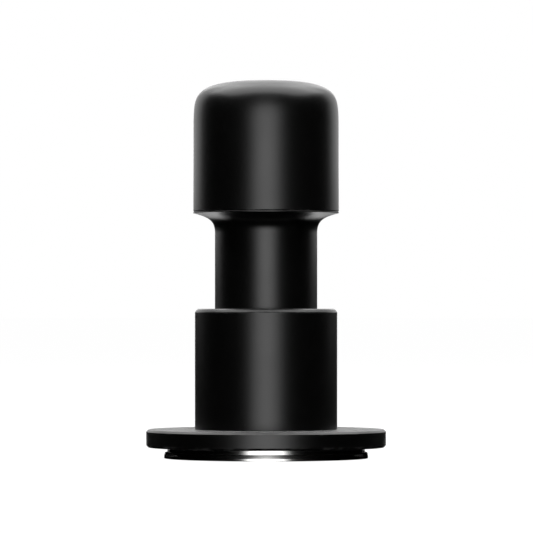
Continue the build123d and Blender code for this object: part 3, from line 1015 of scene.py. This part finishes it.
@dataclass
class Plunger(SubAssembly):
    """The tamping base, its stem and what holds the sear."""

    lip_height: float = 1.7
    lip_lean: float = 0.18
    lip_drop: float = 0.02
    lip_edge: float = 0.06
    land_height: float = 0.72
    wall_radius: float = 28.35
    deck: float = 5.5
    groove_outer: float = 25.05
    groove_inner: float = 22.45
    groove_floor: float = 4.6
    hub_radius: float = 8.0
    thread_radius: float = 5.05
    thread_floor: float = 3.0
    spigot_radius: float = 5.0
    pin_bore: float = 3.5
    pin_bore_floor: float = 29.5
    rest_ring_bore: float = 22.5
    sear_wire: float = 0.2
    sear_turns: int = 7
    sear_slot_end: float = -10.0
    sear_pocket_end: float = -4.6
    sear_stroke: float = 1.2

    def base(self) -> None:
        """Turns the base: a lip that leans in above its land, a wall, a grooved deck and a hub."""
        span = Span.of("tamping_base")
        self.turn(
            "tamping_base", Body.PLUNGER, Slot.POLISHED_STEEL,
            (0, 0, 0), (span.radius, 0, CRISP), (span.radius, self.land_height, EASED),
            (span.radius - self.lip_lean, self.lip_height - self.lip_drop, self.lip_edge),
            (self.wall_radius, self.lip_height, CRISP), (self.wall_radius, self.deck, EASED),
            (self.groove_outer, self.deck), (self.groove_outer, self.groove_floor),
            (self.groove_inner, self.groove_floor), (self.groove_inner, self.deck),
            (self.hub_radius, self.deck, ROUND), (self.hub_radius, span.top, EASED),
            (self.thread_radius, span.top), (self.thread_radius, self.thread_floor),
            (0, self.thread_floor, 0),
        )

    def stem(self) -> None:
        """Turns the stem: a spigot for the base, a ground shank and a blind bore for the hammer's pin."""
        span, base = Span.of("stem"), Span.of("tamping_base")
        self.turn(
            "stem", Body.PLUNGER, Slot.GROUND_STEEL,
            (0, span.bottom, 0), (self.spigot_radius, span.bottom, ROUND), (self.spigot_radius, base.top),
            (span.radius, base.top, CRISP), (span.radius, span.top, CRISP),
            (self.pin_bore, span.top, EASED), (self.pin_bore, self.pin_bore_floor),
            (0, self.pin_bore_floor, 0),
        )

    def sear_spring(self) -> None:
        """Winds the small spring that lies behind the sear plate and is squeezed as the plate shifts."""
        span = Span.of("sear_spring")
        level = (span.bottom + span.top) / 2
        start, end = Vector((self.sear_slot_end, 0, level)), Vector((self.sear_pocket_end, 0, level))
        radius = (span.top - span.bottom) / 2 - self.sear_wire
        coil = Coil(radius, self.sear_wire, self.sear_turns, start, end)
        self.wind("sear_spring", Body.PLUNGER, coil, "sear_shift", (1, 0, 0), start, self.sear_stroke)

    def build(self) -> None:
        """Builds every piece of the plunger."""
        self.base()
        self.stem()
        self.sear_spring()
        self.ring("rest_ring", Body.PLUNGER, Slot.RUBBER, self.rest_ring_bore, ROUND)
        self.dress("stem_head", Slot.HARDENED_STEEL)
        self.dress("sear_plate", Slot.HARDENED_STEEL)


@dataclass
class Collar(SubAssembly):
    """The flange that stands on the basket's rim, its sleeve and the rings and springs in it."""

    flange_chamfer: float = 0.65
    flange_top_edge: float = 0.5
    flange_flats: int = 208
    pocket_radius: float = 29.4
    pocket_ceiling: float = 6.0
    guide_seat: float = 6.8
    guide_seat_radius: float = 14.1
    flange_bore: float = 13.0
    screw_circle: float = 18.0
    screw_count: int = 4
    screw_head: float = 2.9
    screw_head_height: float = 1.4
    screw_shank: float = 1.5
    screw_margin: float = 0.2
    screw_share: float = 0.12
    screw_points: int = 44
    shoulder: tuple = ((0.0, 1.0, 0.5), (0.45, 0.35, 0.5), (0.95, 0.0, TIP))
    sleeve_bore: float = 15.6
    sleeve_floor: float = 10.7
    floor_hole: float = 10.85
    gland_seat: float = 39.0
    gland_seat_radius: float = 17.0
    gland_bore: float = 14.85
    wiper_groove: float = 15.8
    guide_radius: float = 10.8
    guide_bore: float = 9.4
    guide_rib: float = 8.3
    guide_rib_top: float = 9.2
    bush_bore: float = 6.05
    bush_wall: float = 7.5
    bumper_bore: float = 12.5
    neck_bush_bore: float = 14.75
    wiper_bore: float = 14.73
    return_wire: float = 0.6
    return_turns: int = 7
    plunge: float = 10.0

    def countersinks(self, rings: np.ndarray) -> np.ndarray:
        """Sinks the screw holes' cones into the pocket's ceiling.

        At a distance d from the nearest screw's middle, the ceiling rises by the cone's height times
        (head radius - d) / (head radius - shank radius), held between nothing and the whole height.

        Args:
            rings: The flange's points, in metres.

        Returns:
            Each point's offset, in metres.
        """
        places = (np.arange(self.screw_count) + 0.5) * TURN / self.screw_count
        middles = self.screw_circle * np.stack([np.cos(places), np.sin(places)], axis=1)
        gap = np.linalg.norm(rings[:, :, None, :2] / MM - middles, axis=3).min(axis=2)
        cone = self.screw_head - self.screw_shank
        rise = np.clip((self.screw_head - gap) / cone, 0, 1) * self.screw_head_height
        on_ceiling = np.abs(rings[:, :, 2] - self.pocket_ceiling * MM) < TINY
        return np.stack([np.zeros_like(rise), np.zeros_like(rise), rise * on_ceiling], axis=2) * MM

    def flange(self) -> None:
        """Turns the flange, with closer points where the screws' heads are sunk into its pocket."""
        span = Span.of("levelling_flange")
        slope = self.flange_chamfer
        reach = self.screw_head + self.screw_margin
        ceiling = np.linspace(self.screw_circle - reach, self.screw_circle + reach, self.screw_points)
        even = np.linspace(0, 1, self.flange_flats, endpoint=False)
        beside = np.linspace(-self.screw_share, self.screw_share, self.screw_points)
        near = (np.arange(self.screw_count)[:, None] + 0.5 + beside) / self.screw_count
        self.turn(
            "levelling_flange", Body.COLLAR, Slot.ANODISED,
            (self.pocket_radius, span.bottom, CRISP), (span.radius - slope, span.bottom, TIP),
            (span.radius, span.bottom + slope, TIP), (span.radius, span.top - slope, TIP),
            (span.radius - slope, span.top, self.flange_top_edge), (self.guide_seat_radius, span.top),
            (self.guide_seat_radius, self.guide_seat), (self.flange_bore, self.guide_seat),
            (self.flange_bore, self.pocket_ceiling),
            curve_rows(ceiling, np.full_like(ceiling, self.pocket_ceiling)),
            (self.pocket_radius, self.pocket_ceiling, SOFT),
            angle=np.unique(np.round(np.concatenate([even, near.ravel()]), decimals=5)) * TURN,
            shape=self.countersinks,
        )

    def sleeve(self) -> None:
        """Turns the sleeve: a floor over the flange, a soft shoulder, a long bore and the gland's seat."""
        span = Span.of("sleeve")
        self.turn(
            "sleeve", Body.COLLAR, Slot.ANODISED,
            (self.floor_hole, span.bottom), (span.radius, span.bottom, TIP),
            *((span.radius - across, span.top - down, corner) for across, down, corner in self.shoulder),
            (self.gland_seat_radius, span.top, CRISP), (self.gland_seat_radius, self.gland_seat),
            (self.sleeve_bore, self.gland_seat), (self.sleeve_bore, self.sleeve_floor),
            (self.floor_hole, self.sleeve_floor),
        )

    def gland(self) -> None:
        """Turns the gland ring, with the wiper's groove in its bore."""
        span, wiper = Span.of("gland_ring"), Span.of("wiper_ring")
        self.turn(
            "gland_ring", Body.COLLAR, Slot.ANODISED,
            (self.gland_bore, span.bottom), (span.radius, span.bottom), (span.radius, span.top, EASED),
            (self.gland_bore, span.top, SOFT),
            *groove(self.gland_bore, self.wiper_groove, wiper.top, wiper.bottom),
        )

    def guide(self) -> None:
        """Turns the stem guide: a foot, a rib that the hub runs in and a cup for the spring."""
        span, flange = Span.of("stem_guide"), Span.of("levelling_flange")
        self.turn(
            "stem_guide", Body.COLLAR, Slot.BARE_ALUMINIUM,
            (self.guide_rib, span.bottom), (span.radius, span.bottom), (span.radius, flange.top),
            (self.guide_radius, flange.top), (self.guide_radius, span.top, ROUND),
            (self.guide_bore, span.top, SOFT), (self.guide_bore, self.guide_rib_top),
            (self.guide_rib, self.guide_rib_top),
        )

    def bush(self) -> None:
        """Turns the stem's flanged bush."""
        span = Span.of("stem_bush")
        self.turn(
            "stem_bush", Body.COLLAR, Slot.BRONZE,
            (self.bush_bore, span.bottom, SOFT), (span.radius, span.bottom),
            (span.radius, self.sleeve_floor, CRISP), (self.bush_wall, self.sleeve_floor, SOFT),
            (self.bush_wall, span.top, ROUND), (self.bush_bore, span.top, SOFT),
        )

    def return_spring(self) -> None:
        """Winds the spring under the stem's head, which is squeezed as the collar and base part."""
        start, end = Vector((0, 0, self.sleeve_floor)), Vector((0, 0, Span.of("stem_head").bottom))
        radius = Span.of("return_spring").radius - self.return_wire
        coil = Coil(radius, self.return_wire, self.return_turns, start, end)
        self.wind("return_spring", Body.COLLAR, coil, "base_plunge", (0, 0, 1), start, self.plunge)

    def build(self) -> None:
        """Builds every piece of the collar."""
        self.flange()
        self.sleeve()
        self.gland()
        self.guide()
        self.bush()
        self.return_spring()
        self.ring("end_bumper", Body.COLLAR, Slot.RUBBER, self.bumper_bore, EASED)
        self.ring("neck_bush", Body.COLLAR, Slot.BRONZE, self.neck_bush_bore, EASED)
        self.ring("wiper_ring", Body.COLLAR, Slot.POLYMER, self.wiper_bore)
        self.dress("flange_screws", Slot.HARDENED_STEEL)


@dataclass
class Handle(SubAssembly):
    """The neck that slides in the sleeve, with its retainer, and the palm cap on its top."""

    neck_radius: float = 14.7
    thread_radius: float = 14.0
    thread_top: float = 35.0
    low_bore: float = 12.3
    bore: float = 11.1
    taper: tuple = (37.2, 47.3)
    taper_blend: float = 1.5
    stop_groove: tuple = (54.35, 55.95)
    stop_groove_radius: float = 12.0
    flare_start: float = 64.48
    flare_end: float = 70.22
    flare_tip: float = 70.31
    flare_low_pull: float = 3.36
    flare_high_pull: float = 1.24
    flare_high_reach: float = 1.2
    flare_points: int = 56
    rim_overhang: float = 0.34
    seam: float = 70.75
    seam_chamfer: float = 0.2
    seam_edge: float = 0.05
    seam_tip: float = 0.03
    spigot_radius: float = 15.0
    oring_groove: tuple = (71.0, 72.2)
    oring_floor: float = 13.9
    oring_roundness: float = 0.98
    cap_bore: float = 15.05
    cap_ceiling: float = 98.4
    waist_radius: float = 20.88
    waist_height: float = 86.34
    side_power: float = 2.883
    top_power: float = 8.37
    crown_points: int = 97
    retainer_groove: float = 14.9
    play: float = 0.05
    wear_ring_bore: float = 14.95

    def flare(self, rim: float) -> np.ndarray:
        """The curve from the straight neck out to the head's rim, as outline rows.

        Args:
            rim: The head's radius.

        Returns:
            Rows of radius, height and no corner radius.
        """
        control = np.array([
            (self.neck_radius, self.flare_start),
            (self.neck_radius, self.flare_start + self.flare_low_pull),
            (self.neck_radius + self.flare_high_reach, self.flare_end - self.flare_high_pull),
            (rim - self.rim_overhang, self.flare_end),
        ])
        return curve_rows(*bezier(control, self.flare_points).T)

    def neck(self) -> None:
        """Turns the neck: a thread below, the flare, the cap's spigot and a bore with its taper."""
        span = Span.of("neck_tube")
        self.turn(
            "neck_tube", Body.HANDLE, Slot.ANODISED,
            (self.low_bore, span.bottom, SOFT), (self.thread_radius, span.bottom, ROUND),
            (self.thread_radius, self.thread_top), (self.neck_radius, self.thread_top),
            self.flare(span.radius),
            (span.radius, self.flare_tip, TIP),
            (span.radius, self.seam - self.seam_chamfer, self.seam_edge),
            (span.radius - self.seam_chamfer, self.seam, self.seam_tip), (self.spigot_radius, self.seam),
            *groove(self.spigot_radius, self.oring_floor, *self.oring_groove),
            (self.spigot_radius, span.top, ROUND), (self.bore, span.top, ROUND),
            *groove(self.bore, self.stop_groove_radius, *reversed(self.stop_groove)),
            (self.bore, self.taper[1], self.taper_blend), (self.low_bore, self.taper[0], self.taper_blend),
        )

    def crown(self) -> np.ndarray:
        """The cap's crown, a rounded form between a circle and a box, as outline rows.

        For an angle t from 0 to a quarter turn, the radius is the waist's times cos(t) to 2 over the
        side power, and the rise is the crown's height times sin(t) to 2 over the top power.

        Returns:
            Rows of radius, height and no corner radius.
        """
        angle = np.linspace(0, math.pi / 2, self.crown_points)
        rise = Span.of("palm_cap").top - self.waist_height
        radius = self.waist_radius * np.cos(angle) ** (2 / self.side_power)
        radius[-1] = 0
        return curve_rows(radius, self.waist_height + rise * np.sin(angle) ** (2 / self.top_power))

    def cap(self) -> None:
        """Turns the palm cap: a bored cup with a nearly upright side and a soft crown."""
        rim = Span.of("neck_tube").radius
        self.turn(
            "palm_cap", Body.HANDLE, Slot.ANODISED,
            (0, self.cap_ceiling, 0), (self.cap_bore, self.cap_ceiling, ROUND),
            (self.cap_bore, self.seam, CRISP), (rim - self.seam_chamfer, self.seam, self.seam_tip),
            (rim, self.seam + self.seam_chamfer, self.seam_edge),
            self.crown(),
        )

    def retainer(self) -> None:
        """Turns the retainer, grooved for the wear ring."""
        span, ring = Span.of("neck_retainer"), Span.of("neck_wear_ring")
        bore = self.thread_radius + self.play
        self.turn(
            "neck_retainer", Body.HANDLE, Slot.GROUND_STEEL,
            (bore, span.bottom), (span.radius, span.bottom, ROUND),
            *groove(span.radius, self.retainer_groove, ring.bottom - self.play, ring.top + self.play),
            (span.radius, span.top, CRISP), (bore, span.top),
        )

    def build(self) -> None:
        """Builds every piece of the handle."""
        self.neck()
        self.cap()
        self.retainer()
        self.ring("neck_wear_ring", Body.CARRIAGE, Slot.POLYMER, self.wear_ring_bore)
        oring = Span.of("cap_oring")
        thickness = oring.top - oring.bottom
        corner = self.oring_roundness * thickness / 2
        self.ring("cap_oring", Body.HANDLE, Slot.RUBBER, oring.radius - thickness, corner)
        self.dress("hammer_stop_ring", Slot.SPRING_STEEL)


@dataclass
class StrikeWork(SubAssembly):
    """The hammer, its spring and the seat and screw that set the spring."""

    pin_radius: float = 3.0
    pin_top: float = 43.0
    pin_root: float = 0.5
    nose_radius: float = 8.0
    shoulder: float = 56.0
    body_top: float = 68.0
    pilot_radius: float = 7.9
    seat_face: float = 88.0
    main_wire: float = 0.9
    main_turns: int = 5
    stroke: float = 10.0

    def hammer(self) -> None:
        """Turns the hammer: a pin for the sear, a nose, a body that fills the bore and a spring pilot."""
        span = Span.of("hammer")
        self.turn(
            "hammer", Body.HAMMER, Slot.GROUND_STEEL,
            (0, span.bottom, 0), (self.pin_radius, span.bottom, ROUND),
            (self.pin_radius, self.pin_top, self.pin_root), (self.nose_radius, self.pin_top, ROUND),
            (self.nose_radius, self.shoulder, ROUND), (span.radius, self.shoulder, EASED),
            (span.radius, self.body_top, ROUND), (self.pilot_radius, self.body_top, SOFT),
            (self.pilot_radius, span.top, ROUND), (0, span.top, 0),
        )

    def seat(self) -> None:
        """Turns the spring seat: a disc with a pilot below it."""
        span = Span.of("spring_seat")
        self.turn(
            "spring_seat", Body.SEAT, Slot.GROUND_STEEL,
            (0, span.bottom, 0), (self.pilot_radius, span.bottom, ROUND),
            (self.pilot_radius, self.seat_face, SOFT), (span.radius, self.seat_face, CRISP),
            (span.radius, span.top, CRISP), (0, span.top, 0),
        )

    def main_spring(self) -> None:
        """Winds the spring between hammer and seat, which is squeezed as the handle is pressed."""
        start, end = Vector((0, 0, self.body_top)), Vector((0, 0, self.seat_face))
        radius = Span.of("main_spring").radius - self.main_wire
        coil = Coil(radius, self.main_wire, self.main_turns, start, end)
        self.wind("main_spring", Body.SEAT, coil, "hammer_lift", (0, 0, 1), end, self.stroke)

    def build(self) -> None:
        """Builds every piece of the strike work."""
        self.hammer()
        self.seat()
        self.main_spring()
        self.dress("force_adjuster", Slot.BRONZE)


# ---- studio
@dataclass(frozen=True)
class Panel:
    """A soft light: a rectangle or ellipse, equally bright all over its face, that faces a point."""

    name: str
    place: tuple
    width: float
    height: float
    radiance: float
    aim: tuple = (0.0, 0.0, 0.05)
    is_round: bool = False

    def hang(self) -> None:
        """Makes the light, unseen by the camera. Its power is its radiance times its area times pi."""
        lamp = bpy.data.lights.new(self.name, "AREA")
        lamp.shape = "ELLIPSE" if self.is_round else "RECTANGLE"
        lamp.size, lamp.size_y = self.width, self.height
        area = self.width * self.height * (math.pi / 4 if self.is_round else 1)
        lamp.energy = self.radiance * area * math.pi
        light = bpy.data.objects.new(self.name, lamp)
        light.location = self.place
        light.rotation_euler = facing(self.place, self.aim)
        light.visible_camera = False
        bpy.context.collection.objects.link(light)


def facing(place: tuple, aim: tuple) -> Euler:
    """The turn of a light or camera that stands at one point and faces another."""
    return (Vector(aim) - Vector(place)).to_track_quat("-Z", "Y").to_euler()


@dataclass(frozen=True)
class Studio:
    """A white room with soft panels, and the camera at about the height of the sleeve's top.

    The front light is three ellipses, one behind another, so that it dims towards its edge. A small
    panel lies behind the tamper and one under its base, and two tall ones stand behind its shoulders.
    """

    eye: tuple = (0.00012, -1.221, 0.0419)
    target: tuple = (0.00012, 0.0, 0.0550)
    lens: float = 287.06
    sensor: float = 36.0
    clip: tuple = (0.01, 100.0)
    panels: tuple = (
        Panel("key_core", (0.0, -1.70, 0.045), 0.85, 0.65, 1.5, is_round=True),
        Panel("key_middle", (0.0, -1.72, 0.045), 1.36, 0.86, 2.1, is_round=True),
        Panel("key_edge", (0.0, -1.74, 0.045), 1.73, 1.1, 0.8, is_round=True),
        Panel("fill", (0.0, -1.3, 1.0), 0.9, 1.0, 0.5),
        Panel("top", (0.0, 0.17, 0.95), 1.9, 1.26, 3.1, (0.0, 0.17, 0.0)),
        Panel("back", (0.0, 1.5, 0.85), 0.9, 1.1, 1.6),
        Panel("bounce", (0.0, 0.14, 0.001), 0.115, 0.18, 1.8, (0.0, 0.14, 1.0)),
        Panel("under", (0.0, 0.0, -0.0015), 0.055, 0.055, 0.5, UP, is_round=True),
    )
    rim_distance: float = 0.42
    rim_angle: float = math.radians(33)
    rim_width: float = 0.36
    rim_height: float = 0.725
    rim_level: float = 0.4375
    rim_radiance: float = 1.15
    floor_size: float = 60.0
    floor_drop: float = 0.03 * MM
    floor_colour: tuple = (0.9, 0.9, 0.9)
    floor_glow: float = 1.08
    floor_glow_share: float = 0.92

    def room(self) -> None:
        """Makes the room white to the camera and dark to everything else."""
        world = bpy.data.worlds.new("room")
        graph = Graph(empty_tree(world))
        shade = graph.add("Background")
        graph.join(graph.add("LightPath").outputs["Is Camera Ray"], shade.inputs["Strength"])
        graph.join(shade.outputs[0], graph.add("OutputWorld").inputs[0])
        graph.join(colour((1, 1, 1)), shade.inputs["Color"])
        bpy.context.scene.world = world

    def floor(self) -> None:
        """Lays a pale floor just under the tamper, nearly as bright as the room and clear from below."""
        half = self.floor_size / 2
        corners = ((-half, -half), (half, -half), (half, half), (-half, half))
        points = np.array([(*corner, -self.floor_drop) for corner in corners])
        floor = make_piece("floor", points, [[0, 1, 2, 3]])
        pale = bpy.data.materials.new("pale_floor")
        graph = Graph(empty_tree(pale))
        matt, glow = graph.add("BsdfDiffuse"), graph.add("Emission")
        graph.join(colour(self.floor_colour), matt.inputs["Color"])
        graph.join(self.floor_glow, glow.inputs["Strength"])
        seen = graph.math("MULTIPLY", graph.add("LightPath").outputs["Is Camera Ray"], self.floor_glow_share)
        from_below = graph.add("NewGeometry").outputs["Backfacing"]
        sided = graph.either(from_below, graph.either(seen, matt, glow), graph.add("BsdfTransparent"))
        graph.join(sided.outputs[0], graph.add("OutputMaterial").inputs[0])
        floor.data.materials.append(pale)
        floor.visible_glossy = False

    def lights(self) -> None:
        """Hangs every panel, and stands one behind each shoulder at the rim angle."""
        for panel in self.panels:
            panel.hang()
        level = self.rim_level
        for side, name in ((-1, "rim_left"), (1, "rim_right")):
            across, back = side * math.sin(self.rim_angle), math.cos(self.rim_angle)
            place = (across * self.rim_distance, back * self.rim_distance, level)
            Panel(name, place, self.rim_width, self.rim_height, self.rim_radiance, (0.0, 0.0, level)).hang()

    def camera(self) -> None:
        """Stands the camera in front, aimed a little upwards."""
        lens = bpy.data.cameras.new("camera")
        lens.lens, lens.sensor_width = self.lens, self.sensor
        lens.clip_start, lens.clip_end = self.clip
        camera = bpy.data.objects.new("camera", lens)
        camera.location = self.eye
        camera.rotation_euler = facing(self.eye, self.target)
        bpy.context.collection.objects.link(camera)
        bpy.context.scene.camera = camera

    def build(self) -> None:
        """Builds the room, floor, lights and camera."""
        bpy.context.scene.view_settings.view_transform = "Standard"
        self.room()
        self.floor()
        self.lights()
        self.camera()


def main() -> None:
    """Builds the tamper piece by piece, then its studio."""
    logging.basicConfig(level=logging.INFO, format="%(name)s: %(message)s")
    finishes = build_finishes()
    for assembly in (Plunger(finishes), Collar(finishes), Handle(finishes), StrikeWork(finishes)):
        assembly.build()
        LOG.info("%s: %d new pieces", type(assembly).__name__, len(assembly.pieces))
    Studio().build()


if __name__ == "__main__":
    main()
